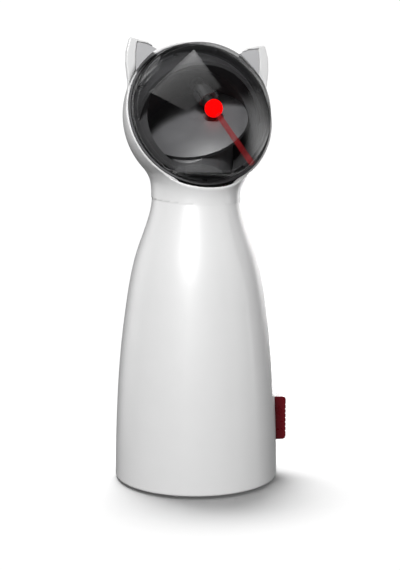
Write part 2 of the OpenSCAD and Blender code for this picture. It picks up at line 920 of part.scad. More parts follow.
module inner_frame() {
    color([0.20, 0.20, 0.21])
    difference() {
        union() {
            translate([0, 0, deck_z - deck_t]) cylinder(r = deck_r, h = deck_t);
            translate([0, 0, deck_z - eps]) cylinder(r = post_r, h = post_top - deck_z);
            for (s = [-1, 1])
            translate([s * leg_x - 1.2, -4.8, frame_z0])
            cube([2.4, 9.8, deck_z - deck_t - frame_z0 + eps]);
            translate([-leg_x, -web_t / 2, frame_z0])
            cube([2 * leg_x, web_t, deck_z - deck_t - frame_z0 - 6]);
            // shelf and clips for the battery cell
            translate([-10.5, 0, frame_z0]) cube([21, cell_y + 9, 2]);
            for (z = [cell_z + 8, cell_z + cell_h - 14])
            translate([0, cell_y, z])
            difference() {
                cylinder(r = cell_r + 1.7, h = 6);
                translate([-20, cell_r * 0.45, -1]) cube([40, 20, 8]);
            }
            translate([-8, 0, cell_z + cell_h + 0.9]) cube([16, 9, 2]);
            // standoffs for the main board
            for (s = [-1, 1], p = board_pts)
            translate([s * p[0], board_y + board_t + 0.05, p[1]])
            rotate([-90, 0, 0])
            cylinder(r = 2.2, h = -board_y - board_t);
        }
        translate([0, cell_y, cell_z - 0.2]) cylinder(r = cell_r + 0.08, h = cell_h + 0.9);
        translate([0, 0, post_top - 12]) cylinder(r = 1.1, h = 20);
        // opening for the motor shaft and its screws
        translate([0, gear_gap, deck_z - 10]) cylinder(r = 1.9, h = 20);
        for (s = [-1, 1]) translate([s * 4.5, gear_gap, 0]) {
            translate([0, 0, deck_z - 10]) cylinder(r = 0.9, h = 20);
            translate([0, 0, deck_z - 1.0]) cylinder(r = 1.5, h = 5);
        }
        for (s = [-1, 1], p = frame_pts)
        translate([s * p[0], 3, p[1]])
        rotate([90, 0, 0])
        cylinder(r = 1.5, h = 6);
        for (s = [-1, 1], p = board_pts)
        translate([s * p[0], 1.4, p[1]])
        rotate([90, 0, 0])
        cylinder(r = 0.85, h = 8);
        // weight saving windows in the web, also used by the wires
        for (z = [84, 118] * k_z)
        translate([-8, -4, z])
        cube([16, 8, z > 100 * k_z ? 8 : 20]);
        // seat of the brush block
        translate([9.2, -3.6, deck_z - 0.8]) cube([5.6, 7.2, 3]);
        translate([12, -7.2, deck_z - 10]) cylinder(r = 1.3, h = 20);
    }
}

module frame_screws() {
    color([0.7, 0.7, 0.72])
    for (s = [-1, 1], p = frame_pts)
    translate([s * p[0], web_t / 2 + 0.05, p[1]])
    rotate([-90, 0, 0])
    screw(1.08, 9, 2.3, 1.4);
}

module brush_block() {
    color([0.85, 0.82, 0.7])
    translate([9.4, -3.4, deck_z - 0.75])
    difference() {
        cube([5.2, 6.8, 10.8]);
        for (s = [0, 1]) translate([-1, 1.4 + s * 3.2, 5.95 + s * 2.4]) cube([8, 0.8, 0.9]);
    }
}

module brushes() {
    color([0.82, 0.62, 0.25])
    for (s = [0, 1])
    translate([hub_r + 0.8, -3.4 + 1.5 + s * 3.2, gear_z + gear_h + 1.3 + s * 2.4])
    cube([9.3, 0.6, 0.6]);
}

// ---------- electronics ----------
module main_board() {
    color([0.05, 0.32, 0.14])
    difference() {
        translate([-15, board_y, 14]) cube([30, board_t, 50]);
        for (s = [-1, 1], p = board_pts)
        translate([s * p[0], 5, p[1]])
        rotate([90, 0, 0])
        cylinder(r = 1.1, h = 20);
    }
}

module controller() {
    color([0.08, 0.08, 0.09])
    translate([-4, board_y - 1.65, 34])
    difference() {
        cube([8, 1.6, 10]);
        translate([1.2, -0.1, 8.6]) rotate([-90, 0, 0]) cylinder(r = 0.5, h = 0.4, $fn = 16);
    }
}

module capacitor() {
    color([0.15, 0.17, 0.30])
    translate([7, board_y - 0.05, 50])
    rotate([90, 0, 0])
    difference() {
        cylinder(r = 3.2, h = 8);
        translate([-4, -0.2, 7.7]) cube([8, 0.4, 1]);
        translate([-0.2, -4, 7.7]) cube([0.4, 8, 1]);
    }
}

module connectors() {
    color([0.92, 0.90, 0.82])
    for (p = [[-9, 50], [-9, 28], [3, 20]])
    translate([p[0], board_y - 5.85, p[1]])
    difference() {
        cube([6, 5.8, 4.5]);
        translate([0.8, -1, 0.8]) cube([4.4, 5, 2.9]);
    }
}

module board_screws() {
    color([0.7, 0.7, 0.72])
    for (s = [-1, 1], p = board_pts)
    translate([s * p[0], board_y - 0.05, p[1]])
    rotate([90, 0, 0])
    screw(0.82, 6, 1.7, 1);
}

module battery() {
    color([0.10, 0.28, 0.55])
    translate([0, cell_y, cell_z])
    rotate_extrude()
    polygon([[0, 0], [cell_r - 0.6, 0], [cell_r, 0.6], [cell_r, cell_h - 2.2],
        [cell_r - 0.5, cell_h - 1.6], [cell_r - 0.9, cell_h - 0.9], [cell_r * 0.5, cell_h - 0.9],
        [cell_r * 0.42, cell_h], [0, cell_h]]);
}

module battery_tabs() {
    color([0.78, 0.78, 0.76])
    translate([0, cell_y, 0]) {
        translate([-2.5, -7, cell_z + cell_h + 0.05]) cube([5, 10, 0.25]);
        translate([-2.5, -4, cell_z - 0.3]) cube([5, 12, 0.25]);
    }
}

module speed_key() {
    color([0.42, 0.05, 0.06])
    key_frame()
    difference() {
        union() {
            translate([pad_x - 1.3, -6.6, -flange_h / 2]) cube([1.15, 13.2, flange_h]);
            translate([pad_x - 0.3, 0, 0])
            rotate([90, 0, 0])
            translate([0, 0, -key_w / 2])
            linear_extrude(height = key_w)
            polygon([[0, -key_h / 2], [key_out - pad_x - 1.1, -key_h / 2],
                [key_out - pad_x - 0.1, -key_h / 2 + 0.5], [key_out - pad_x + 0.3, -key_h / 2 + 1.6],
                [key_out - pad_x + 0.3, key_h / 2 - 1.6], [key_out - pad_x - 0.1, key_h / 2 - 0.5],
                [key_out - pad_x - 1.1, key_h / 2], [0, key_h / 2]]);
        }
        // grip grooves across the face
        for (i = [-3:3])
        translate([key_out + 0.25, 0, i * 2.2])
        rotate([90, 0, 0])
        cylinder(r = 0.5, h = 20, center = true, $fn = 16);
        translate([pad_x - 3, -1.7, -1.2]) cube([5, 3.4, 2.4]);
    }
}

module slide_switch() {
    color([0.75, 0.75, 0.76])
    key_frame()
    difference() {
        translate([sw_x + board_t + 0.05, -3.4, -7]) cube([4.6, 6.8, 14]);
        translate([sw_x + 2.9, -2.6, -6]) cube([2.7, 5.2, 12]);
        translate([sw_x + 4.5, -1.8, -2.1 - key_travel]) cube([4, 3.6, 4.2 + 2 * key_travel]);
    }
}

module switch_lever() {
    color([0.16, 0.16, 0.17])
    key_frame() {
        translate([sw_x + 3.1, -2.4, -2]) cube([2.3, 4.8, 4]);
        translate([sw_x + 5, -1.5, -1]) cube([pad_x - sw_x - 3.6, 3, 2]);
    }
}

module switch_board() {
    color([0.05, 0.32, 0.14])
    key_frame()
    difference() {
        translate([sw_x, -11.6, -9]) cube([board_t, 23.2, 18]);
        for (s = [-1, 1])
        translate([sw_x - 2, s * 9.2, 0])
        rotate([0, 90, 0])
        cylinder(r = 1, h = 8);
    }
}

module switch_screws() {
    color([0.7, 0.7, 0.72])
    key_frame()
    for (s = [-1, 1])
    translate([sw_x - 0.05, s * 9.2, 0])
    rotate([0, -90, 0])
    screw(0.78, 6, 1.6, 1);
}

module usb_board() {
    color([0.05, 0.32, 0.14])
    difference() {
        translate([-8.6, 24, 18.65]) cube([17.2, 10.6, 1.2]);
        for (s = [-1, 1]) translate([s * 6.6, 28, 15]) cylinder(r = 1, h = 8);
    }
}

module usb_socket() {
    color([0.72, 0.72, 0.74])
    translate([0, 30, 19.9]) {
        difference() {
            translate([-4.4, 0, 0]) cube([8.8, 7.2, 3.1]);
            translate([-3.9, 0.6, 0.45]) cube([7.8, 8, 2.2]);
        }
        translate([-3, 0.3, 1.25]) cube([6, 5.8, 0.6]);
    }
}

module usb_screws() {
    color([0.7, 0.7, 0.72])
    for (s = [-1, 1])
    translate([s * 6.6, 28, 19.9])
    screw(0.78, 3.6, 1.5, 0.9);
}

module usb_flap() {
    color([0.80, 0.80, 0.79])
    difference() {
        union() {
            translate([-8.2, base_r - 1.35, 17.2]) cube([16.4, 1.0, 8.5]);
            translate([-9.2, base_r - 0.85, 17.2]) rotate([0, 90, 0]) cylinder(r = 0.5, h = 18.4);
            translate([-4.3, base_r - 2.2, 19.6]) cube([8.6, 1.2, 3.0]);
            translate([-2.5, base_r - 0.45, 24.5]) cube([5, 0.5, 0.8]);
        }
        translate([-3.4, base_r - 2.6, 20.4]) cube([6.8, 1.2, 1.4]);
    }
}

module charge_light() {
    color([0.85, 0.95, 0.85])
    translate([0, 33, 33])
    rotate([-90, 0, 0]) {
        cylinder(r = 1.2, h = body_r(33) - 33 - 0.1);
        cylinder(r = 2, h = 1.6);
    }
}

module cover_screws() {
    color([0.7, 0.7, 0.72])
    for (s = [-1, 1], p = lugs)
    translate([s * p[0], split_y + 3.1, p[1]])
    rotate([-90, 0, 0])
    screw(1.18, 10, 2.7, 1.6);
}

module wiring() {
    color([0.55, 0.08, 0.08]) {
        lead([[-6, board_y - 3, 54.7], [-6, board_y - 4, 82], [-3, gear_gap - 4, 100],
            [-3, gear_gap, deck_z - 27.2]], 0.6);
        lead([[-6, board_y - 4, 33.2], [-19.5, board_y - 4, 44], [-19.5, 12, 60],
            [-12.5, 12.5, cell_z + cell_h + 5], [-2, cell_y + 1, cell_z + cell_h + 1.1]], 0.6);
        lead([[6, board_y - 4, 25.2], [14, board_y - 7, 27], [sw_x - 1.6, -7, 29]], 0.6);
        lead([[9.2, board_y - 3.4, 22], [18.6, board_y - 3, 22.8], [21, 12, 23.4],
            [4, 25.2, 20.6]], 0.6);
        lead([[12, -7.2, deck_z - 20], [12, -7.2, deck_z + 3], [12.5, -4.1, deck_z + 6]], 0.5);
    }
}

front_shell();
rear_cover();
ear_insert_left();
ear_insert_right();
base_plate();
rubber_foot();
ballast();
dome();
bezel_ring();
mask();
mask_screws();
turret_cup();
turret_floor();
dish();
laser_arm();
laser_barrel();
laser_sleeve();
laser_lens();
laser_board();
tilt_knob();
drive_gear();
slip_rings();
thrust_washer();
turret_screw();
pinion();
gear_motor();
motor_screws();
inner_frame();
frame_screws();
brush_block();
brushes();
main_board();
controller();
capacitor();
connectors();
board_screws();
battery();
battery_tabs();
speed_key();
switch_lever();
slide_switch();
switch_board();
switch_screws();
usb_board();
usb_socket();
usb_screws();
usb_flap();
charge_light();
cover_screws();
base_screws();
ballast_screws();
wiring();
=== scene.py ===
import json
import math
import bpy
import bmesh
import numpy as np
from mathutils import Matrix, Vector


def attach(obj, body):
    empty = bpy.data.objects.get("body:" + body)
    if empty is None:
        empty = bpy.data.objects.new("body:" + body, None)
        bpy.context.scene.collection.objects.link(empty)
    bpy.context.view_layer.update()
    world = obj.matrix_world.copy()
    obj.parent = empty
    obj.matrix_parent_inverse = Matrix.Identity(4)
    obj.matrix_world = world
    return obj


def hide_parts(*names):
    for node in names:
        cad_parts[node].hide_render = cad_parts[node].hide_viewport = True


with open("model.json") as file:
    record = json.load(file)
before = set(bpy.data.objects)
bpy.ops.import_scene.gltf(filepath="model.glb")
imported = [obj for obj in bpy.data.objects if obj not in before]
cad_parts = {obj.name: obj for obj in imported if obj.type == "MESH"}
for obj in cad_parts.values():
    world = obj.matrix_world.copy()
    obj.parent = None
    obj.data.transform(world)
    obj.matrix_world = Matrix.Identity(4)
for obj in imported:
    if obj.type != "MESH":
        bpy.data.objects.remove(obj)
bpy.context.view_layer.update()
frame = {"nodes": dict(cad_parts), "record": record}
MM = 0.001
nodes = frame["nodes"]
DOME_TINT = 0.16  # share of light that the clear dome holds back, seen square on


# ---------------------------------------------------------------- materials
def new_material(name):
    m = bpy.data.materials.new(name)
    m.use_nodes = True
    t = m.node_tree
    b = t.nodes["Principled BSDF"]
    return m, t, b


def noise(t, scale, detail=3.0, rough=0.5, coords=None, stretch=None):
    n = t.nodes.new("ShaderNodeTexNoise")
    n.inputs["Scale"].default_value = scale
    n.inputs["Detail"].default_value = detail
    n.inputs["Roughness"].default_value = rough
    c = coords or t.nodes.new("ShaderNodeTexCoord")
    if stretch:
        mp = t.nodes.new("ShaderNodeMapping")
        mp.inputs["Scale"].default_value = stretch
        t.links.new(c.outputs["Object"], mp.inputs["Vector"])
        t.links.new(mp.outputs["Vector"], n.inputs["Vector"])
    else:
        t.links.new(c.outputs["Object"], n.inputs["Vector"])
    return n, c


def ranged(t, src, lo, hi, a=0.35, b=0.65):
    r = t.nodes.new("ShaderNodeMapRange")
    r.inputs["From Min"].default_value = a
    r.inputs["From Max"].default_value = b
    r.inputs["To Min"].default_value = lo
    r.inputs["To Max"].default_value = hi
    t.links.new(src, r.inputs["Value"])
    return r.outputs["Result"]


def two_tone(t, src, col_a, col_b):
    r = t.nodes.new("ShaderNodeValToRGB")
    r.color_ramp.elements[0].position = 0.35
    r.color_ramp.elements[0].color = (*col_a, 1)
    r.color_ramp.elements[1].position = 0.65
    r.color_ramp.elements[1].color = (*col_b, 1)
    t.links.new(src, r.inputs["Fac"])
    return r.outputs["Color"]


def moulded(name, col, rough=0.35, tone=0.03, grain=1800, bump=0.04, spread=0.05,
            metal=0.0, coat=0.0, stretch=None, spec=0.5, coat_rough=0.08):
    """Moulded or machined surface: slight tone drift, uneven gloss and a fine grain."""
    m, t, b = new_material(name)
    n1, c = noise(t, 90, 3)
    lo = tuple(max(0.0, v * (1 - tone)) for v in col)
    hi = tuple(min(1.0, v * (1 + tone)) for v in col)
    t.links.new(two_tone(t, n1.outputs["Fac"], lo, hi), b.inputs["Base Color"])
    n2, _ = noise(t, 260, 4, coords=c)
    t.links.new(ranged(t, n2.outputs["Fac"], max(0.02, rough - spread), rough + spread),
                b.inputs["Roughness"])
    n3, _ = noise(t, grain, 2, coords=c, stretch=stretch)
    bp = t.nodes.new("ShaderNodeBump")
    bp.inputs["Strength"].default_value = bump
    bp.inputs["Distance"].default_value = 0.0001
    t.links.new(n3.outputs["Fac"], bp.inputs["Height"])
    t.links.new(bp.outputs["Normal"], b.inputs["Normal"])
    b.inputs["Metallic"].default_value = metal
    b.inputs["Coat Weight"].default_value = coat
    b.inputs["Coat Roughness"].default_value = coat_rough
    b.inputs["Specular IOR Level"].default_value = spec
    return m


def smoky():
    """Clear smoky plastic: a light tint that lets lamps through, under a sharp gloss."""
    m, t, b = new_material("smoky_dome_visual")
    n1, c = noise(t, 60, 2)
    t.links.new(two_tone(t, n1.outputs["Fac"], (0.010, 0.010, 0.011), (0.014, 0.014, 0.016)),
                b.inputs["Base Color"])
    n2, _ = noise(t, 320, 3, coords=c)
    t.links.new(ranged(t, n2.outputs["Fac"], 0.02, 0.05), b.inputs["Roughness"])
    lw = t.nodes.new("ShaderNodeLayerWeight")
    lw.inputs["Blend"].default_value = 0.30
    t.links.new(ranged(t, lw.outputs["Facing"], DOME_TINT, 0.70, 0.1, 1.0), b.inputs["Alpha"])
    b.inputs["IOR"].default_value = 1.8
    b.inputs["Coat Weight"].default_value = 1.0
    b.inputs["Coat IOR"].default_value = 1.8
    b.inputs["Coat Roughness"].default_value = 0.02
    return m


def glowing(name, col, strength, base=None, spec=0.5):
    m, t, b = new_material(name)
    n1, c = noise(t, 500, 2)
    t.links.new(two_tone(t, n1.outputs["Fac"], tuple(v * 0.96 for v in col), col),
                b.inputs["Emission Color"])
    t.links.new(two_tone(t, n1.outputs["Fac"], base or tuple(v * 0.5 for v in col), base or col),
                b.inputs["Base Color"])
    b.inputs["Emission Strength"].default_value = strength
    b.inputs["Roughness"].default_value = 0.2
    b.inputs["Specular IOR Level"].default_value = spec
    return m


M = {
    "white_shell": moulded("white_gloss", (0.80, 0.80, 0.80), 0.46, 0.006, 2600,
                           0.006, 0.02, coat=1.0, coat_rough=0.36),
    "pale_plastic": moulded("pale_plastic_visual", (0.62, 0.62, 0.61), 0.42, 0.02, 2200, 0.05),
    "ear_grey": moulded("ear_grey_visual", (0.50, 0.50, 0.51), 0.5, 0.03, 1500, 0.10),
    "rubber": moulded("rubber_visual", (0.03, 0.03, 0.03), 0.75, 0.08, 1400, 0.2),
    "iron": moulded("iron_visual", (0.28, 0.28, 0.29), 0.55, 0.10, 700, 0.35, metal=0.9),
    "black_gloss": moulded("black_gloss_visual", (0.050, 0.050, 0.052), 0.36, 0.08, 2200, 0.004, 0.03),
    "black_matte": moulded("black_satin_visual", (0.050, 0.050, 0.052), 0.45, 0.08, 2000, 0.01, 0.04),
    "brass": moulded("brass_visual", (0.72, 0.52, 0.22), 0.28, 0.05, 1500, 0.05, metal=1.0),
    "dark_barrel": moulded("blackened_brass", (0.020, 0.019, 0.018), 0.5, 0.10, 1500, 0.03),
    "board": moulded("board_visual", (0.02, 0.16, 0.06), 0.4, 0.12, 900, 0.1),
    "gear_plastic": moulded("nylon_visual", (0.78, 0.76, 0.68), 0.45, 0.03, 1600, 0.06),
    "steel": moulded("steel_visual", (0.55, 0.55, 0.57), 0.32, 0.04, 900, 0.08, metal=1.0,
                     stretch=(1, 1, 12)),
    "can_blue": moulded("can_visual", (0.10, 0.12, 0.25), 0.4, 0.05, 1200, 0.05),
    "battery_wrap": moulded("wrap_visual", (0.04, 0.14, 0.36), 0.35, 0.06, 600, 0.08),
    "light_pipe": moulded("light_pipe_visual", (0.80, 0.90, 0.84), 0.2, 0.03, 1200, 0.03),
    "wire_cover": moulded("wire_visual", (0.36, 0.03, 0.03), 0.5, 0.08, 1200, 0.1),
    "red_key": moulded("red_key_visual", (0.115, 0.004, 0.008), 0.32, 0.12, 1900, 0.06, 0.06, coat=0.2),
    "smoky_dome": smoky(),
    "red_lens": glowing("red_lens_visual", (1.0, 0.0, 0.0), 1.6, (0.6, 0.0, 0.0), 0.0),
}

slots = {s["node"]: s["material_slot"] for s in frame["record"]["subparts"]}
slots["laser_barrel"] = "dark_barrel"
slots["laser_board"] = "black_matte"
for name, o in nodes.items():
    mat = M[slots[name]]
    if not o.material_slots:
        o.data.materials.append(mat)
    for s in o.material_slots:
        s.material = mat


# ---------------------------------------------------------------- smooth white shell
# Sizes in millimetres. The shell is one soft moulding, so its skin is worked out as a
# distance field and meshed finely, with small rounds on every edge. A "blend" is the
# width over which two surfaces are melted into one another.
NECK_Z = 137.0
NECK_R = 21.4
WALL = 2.2
SPLIT_Y = 14.0
LIFT = 1.0
HEAD_R = 36.0
LEAN = math.radians(7.4)
TILT = math.radians(15)
RISE = HEAD_R * 1.0361
SINK = 0.05
HC = Vector((0, -RISE * math.sin(LEAN), NECK_Z + RISE * math.cos(LEAN)))
# the dome's seat, measured along the dome axis: bore, its floor, the rim, and how the
# neck's front falls away from the rim
BORE_R = HEAD_R - 1.15
SEAT_W = -1.7
RIM_W = 3.3
LIP_SLOPE = 0.2
LIP_PLAY = 0.1
# arc that sweeps from the neck out to the head
FLARE_R = NECK_R - 0.3
FLARE_ARC = ((FLARE_R ** 2 + RISE ** 2 - (HEAD_R - SINK) ** 2)
             / (2 * (HEAD_R - SINK - FLARE_R)))
FLARE_D = math.hypot(FLARE_R + FLARE_ARC, RISE)
# height, radius and slope of the body's marked rings
BODY = [(0, 39.5, -0.01), (45, 38.0, -0.06), (80, 34.5, -0.14), (110, 28.6, -0.31),
        (NECK_Z, NECK_R - 0.25, 0.0)]
# slot of the speed key: bearing, height, half width, half height, nearest depth
KEY_AZ = math.radians(80)
KEY_Z = 27.4
KEY_HALF_W = 3.8
KEY_HALF_H = 13.5
KEY_DEPTH = 30
# blends and edge rounds of the shell
NECK_BLEND, INNER_BLEND, EAR_BLEND = 1.5, 0.5, 1.8
WALL_EDGE, SEAT_EDGE, LIP_EDGE, PANEL_EDGE = 0.3, 0.45, 1.4, 0.35
SLOT_EDGE, SEAM_EDGE, FOOT_EDGE = 0.4, 0.25, 0.9


def smin(a, b, k):
    """Smaller of two distances, blended over k where they are close."""
    h = np.clip(0.5 + 0.5 * (b - a) / k, 0, 1)
    return b * (1 - h) + a * h - k * h * (1 - h)


def smax(a, b, k):
    """Larger of two distances, blended over k where they are close."""
    return -smin(-a, -b, k)


def body_radius(z):
    """Radius of the body at a height: a smooth curve through its marked rings."""
    out = np.where(z <= 0, BODY[0][1], BODY[-1][1]).astype(z.dtype)
    for (z0, a, ma), (z1, b, mb) in zip(BODY, BODY[1:]):
        h = z1 - z0
        t = (z - z0) / h
        cubic = (a * (2 * t**3 - 3 * t**2 + 1) + ma * h * (t**3 - 2 * t**2 + t)
                 + b * (3 * t**2 - 2 * t**3) + mb * h * (t**3 - t**2))
        out = np.where((z > z0) & (z <= z1), cubic, out)
    return out


def skin(x, y, z, inset, neck_blend):
    """Signed distance to the body, neck and head, moved inward by inset."""
    slope_share, body_top, flare_foot, seam_fade, least = 0.97, 10, 1, 8, 0.01
    d_body = (np.hypot(x, y) - body_radius(z) + inset) * slope_share
    d_body = np.maximum(d_body, z - NECK_Z - body_top)
    up = -y * math.sin(LEAN) + (z - NECK_Z) * math.cos(LEAN)
    across = np.hypot(x, y * math.cos(LEAN) + (z - NECK_Z) * math.sin(LEAN))
    across = np.minimum(across, FLARE_R + FLARE_ARC)
    arc = FLARE_ARC + inset
    d_flare = arc - np.hypot(across - FLARE_R - FLARE_ARC, np.maximum(up, 0))
    top = RISE - (HEAD_R - SINK - inset) * RISE / FLARE_D
    d_flare = np.maximum(np.maximum(d_flare, up - top), -up - flare_foot)
    d_ball = np.sqrt(x * x + (y - HC.y) ** 2 + (z - HC.z) ** 2) - HEAD_R + inset
    d_head = np.minimum(d_ball, d_flare)
    fade = np.clip((SPLIT_Y - y) / seam_fade, 0, 1)
    return smin(d_body, d_head, neck_blend * fade + least)


# right ear and its panel seen from the front, measured from the head centre
EAR = [(11.0, 20.0), (19.2, 28.6), (25.4, 32.0), (32.6, 33.4), (34.0, 28.0), (34.2, 23.0),
       (33.6, 17.0), (32.2, 10.0)]
PANEL = [(30.2, 15.0), (30.6, 22.0), (30.6, 28.0), (29.9, 32.8), (24.6, 32.0), (20.4, 30.1),
         (16.0, 22.0)]
PANEL_FLOOR = -3.9
EAR_ROUND = 1.1
EAR_FRONT = -4.2
EAR_BACK = -2.6
EAR_SWELL = 0.9
EAR_FRONT_EDGE, EAR_BACK_EDGE, PANEL_CORNER = 0.8, 1.6, 0.1


def outline_distance(px, pz, corners):
    """Signed distance to a closed outline."""
    best = np.full(px.shape, 1e6, px.dtype)
    inside = np.zeros(px.shape, bool)
    n = len(corners)
    for i in range(n):
        ax, az = corners[i]
        bx, bz = corners[(i + 1) % n]
        ex, ez = bx - ax, bz - az
        t = np.clip(((px - ax) * ex + (pz - az) * ez) / (ex * ex + ez * ez), 0, 1)
        best = np.minimum(best, (px - ax - t * ex) ** 2 + (pz - az - t * ez) ** 2)
        cross = (az > pz) != (bz > pz)
        inside ^= cross & (px < ax + (pz - az) / (ez if ez else 1e-9) * ex)
    return np.where(inside, -1, 1) * np.sqrt(best)


def ears(x, y, z):
    """Signed distance to both ears: flat in front, swelling behind towards the middle."""
    flat = outline_distance(np.abs(x), z - HC.z, EAR)
    back = (y - EAR_BACK + EAR_SWELL * flat) / math.hypot(1, EAR_SWELL)
    return smax(smax(flat, EAR_FRONT - y, EAR_FRONT_EDGE), back, EAR_BACK_EDGE) - EAR_ROUND


def panels(x, y, z):
    """Signed distance to the cuts that the ear inserts lie in."""
    flat = outline_distance(np.abs(x), z - HC.z, PANEL)
    return smax(flat, y - PANEL_FLOOR, PANEL_CORNER)


def opening(x, y, z):
    """The tilted seat that the bezel ring drops into, and the open front beyond it."""
    qy, qz = y - HC.y, z - HC.z
    w = -qy * math.cos(TILT) + qz * math.sin(TILT)
    v = qy * math.sin(TILT) + qz * math.cos(TILT)
    rho = np.hypot(x, v)
    bore = np.maximum(rho - BORE_R, SEAT_W - w)
    ahead = np.maximum(w - RIM_W, 0)
    front = smax(rho - HEAD_R - LIP_PLAY - LIP_SLOPE * ahead, RIM_W - w, LIP_PLAY)
    edge = SEAT_EDGE + LIP_EDGE * np.clip(ahead / 2, 0, 1)
    return bore, front, edge


def key_slot(x, y, z):
    """Signed distance to the slot that the key slides in."""
    c, s = math.cos(KEY_AZ - math.pi / 2), math.sin(KEY_AZ - math.pi / 2)
    along, across = x * c + y * s, -x * s + y * c
    hole = np.maximum(np.abs(across) - KEY_HALF_W, np.abs(z - KEY_Z) - KEY_HALF_H)
    return np.maximum(hole, KEY_DEPTH - along)


def shell(x, y, z):
    """Signed distance to the front half of the shell."""
    outer = skin(x, y, z, 0.0, NECK_BLEND)
    high = z > NECK_Z
    if np.any(high):
        outer = np.where(high, smin(outer, ears(x, y, z), EAR_BLEND), outer)
    d = smax(outer, -skin(x, y, z, WALL, INNER_BLEND), WALL_EDGE)
    bore, front, edge = opening(x, y, z)
    d = smax(d, -front, edge)
    d = smax(d, -bore, SEAT_EDGE)
    if np.any(high):
        d = np.where(high, smax(d, -panels(x, y, z), PANEL_EDGE), d)
    d = smax(d, -key_slot(x, y, z), SLOT_EDGE)
    d = smax(d, y - SPLIT_Y, SEAM_EDGE)
    return smax(d, LIFT - z, FOOT_EDGE)


def surface_net(field, xs, ys, zs):
    """Quads round the zero surface of a field given on a box grid."""
    X, Y, Z = np.meshgrid(xs, ys, zs, indexing="ij")
    f = field(X, Y, Z).astype(np.float32)
    neg = f < 0
    n = tuple(k - 1 for k in f.shape)
    count = np.zeros(n, np.int8)
    for i in (0, 1):
        for j in (0, 1):
            for k in (0, 1):
                count += neg[i:i + n[0], j:j + n[1], k:k + n[2]]
    active = (count > 0) & (count < 8)
    cells = np.argwhere(active)
    index = np.full(n, -1, np.int64)
    index[active] = np.arange(len(cells))
    total = np.zeros((len(cells), 3))
    hits = np.zeros(len(cells))
    axes = (xs, ys, zs)
    for axis in range(3):
        others = [a for a in range(3) if a != axis]
        for a in (0, 1):
            for b in (0, 1):
                c0 = cells.copy()
                c0[:, others[0]] += a
                c0[:, others[1]] += b
                c1 = c0.copy()
                c1[:, axis] += 1
                f0, f1 = f[tuple(c0.T)], f[tuple(c1.T)]
                cut = (f0 < 0) != (f1 < 0)
                t = np.where(cut, f0 / np.where(cut, f0 - f1, 1), 0)
                for m in range(3):
                    p0, p1 = axes[m][c0[:, m]], axes[m][c1[:, m]]
                    total[:, m] += np.where(cut, p0 + t * (p1 - p0), 0)
                hits += cut
    verts = total / hits[:, None]
    quads = []
    for axis in range(3):
        a, b = [m for m in range(3) if m != axis]
        lo = [slice(None)] * 3
        hi = [slice(None)] * 3
        lo[axis], hi[axis] = slice(0, -1), slice(1, None)
        edge = neg[tuple(lo)] != neg[tuple(hi)]
        at = np.argwhere(edge)
        at = at[(at[:, a] > 0) & (at[:, b] > 0) & (at[:, a] < n[a]) & (at[:, b] < n[b])]
        ring = []
        for da, db in ((-1, -1), (0, -1), (0, 0), (-1, 0)):
            c = at.copy()
            c[:, a] += da
            c[:, b] += db
            ring.append(index[tuple(c.T)])
        q = np.stack(ring, 1)
        out = neg[tuple(at.T)]
        flip = out if axis != 1 else ~out
        q[~flip] = q[~flip][:, ::-1]
        quads.append(q)
    return verts, np.concatenate(quads)


def settle(field, verts, rounds=3, step=0.02, furthest=0.4, least_slope=0.2):
    """Moves points onto the zero surface and returns them with their normals."""
    for k in range(rounds + 1):
        f = field(*verts.T)
        grad = np.stack([(field(*(verts + e).T) - field(*(verts - e).T)) / (2 * step)
                         for e in np.eye(3) * step], 1)
        size = np.maximum(np.linalg.norm(grad, axis=1), least_slope)
        if k < rounds:
            verts = verts - grad * (np.clip(f, -furthest, furthest) / size**2)[:, None]
    return verts, grad / size[:, None]


def inner_details(node, depth=0.25, seam=0.5):
    """Bosses, rails and ribs of the CAD solid that stand inside its inner skin."""
    me = node.data
    co = np.empty(len(me.vertices) * 3)
    me.vertices.foreach_get("co", co)
    co = co.reshape(-1, 3) / MM
    me.calc_loop_triangles()
    tri = np.empty(len(me.loop_triangles) * 3, np.int64)
    me.loop_triangles.foreach_get("vertices", tri)
    tri = tri.reshape(-1, 3)
    mid = co[tri].mean(1)
    deep = skin(*mid.T, WALL, INNER_BLEND) < -depth
    tri = tri[deep & (mid[:, 1] < SPLIT_Y + seam)]
    used, back = np.unique(tri, return_inverse=True)
    return co[used], back.reshape(-1, 3)


def build_shell():
    """The white front half, with the CAD solid's inner bosses and ribs carried over."""
    fine, coarse = 0.6, 1.0
    side, beyond_seam = 42, 1.2
    foot_top, neck_low, above_ears = 6, 128, 211
    xs = np.arange(-side, side + 0.01, fine)
    ys = np.arange(-side, SPLIT_Y + beyond_seam, fine)
    zs = np.concatenate([np.arange(0, foot_top, fine), np.arange(foot_top, neck_low, coarse),
                         np.arange(neck_low, above_ears, fine)])
    verts, quads = surface_net(shell, xs, ys, zs)
    verts, normals = settle(shell, verts)
    extra, tris = inner_details(nodes["front_shell"])
    me = bpy.data.meshes.new("white_front")
    me.from_pydata(np.concatenate([verts, extra]) * MM, [],
                   [tuple(map(int, q)) for q in quads]
                   + [tuple(int(v) + len(verts) for v in t) for t in tris])
    me.update()
    me.shade_smooth()
    me.polygons.foreach_set("use_smooth", [True] * len(quads) + [False] * len(tris))
    own = np.empty(len(me.vertices) * 3)
    me.vertices.foreach_get("normal", own)
    own = own.reshape(-1, 3)
    own[:len(verts)] = normals
    me.normals_split_custom_set_from_vertices(own)
    me.materials.append(M["white_shell"])
    o = bpy.data.objects.new("white_front", me)
    bpy.context.collection.objects.link(o)
    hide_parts("front_shell")
    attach(o, "housing")
    return o


build_shell()


# ---------------------------------------------------------------- beam of light (stage only)
def rot_z(a):
    return Matrix.Rotation(math.radians(a), 3, "Z")


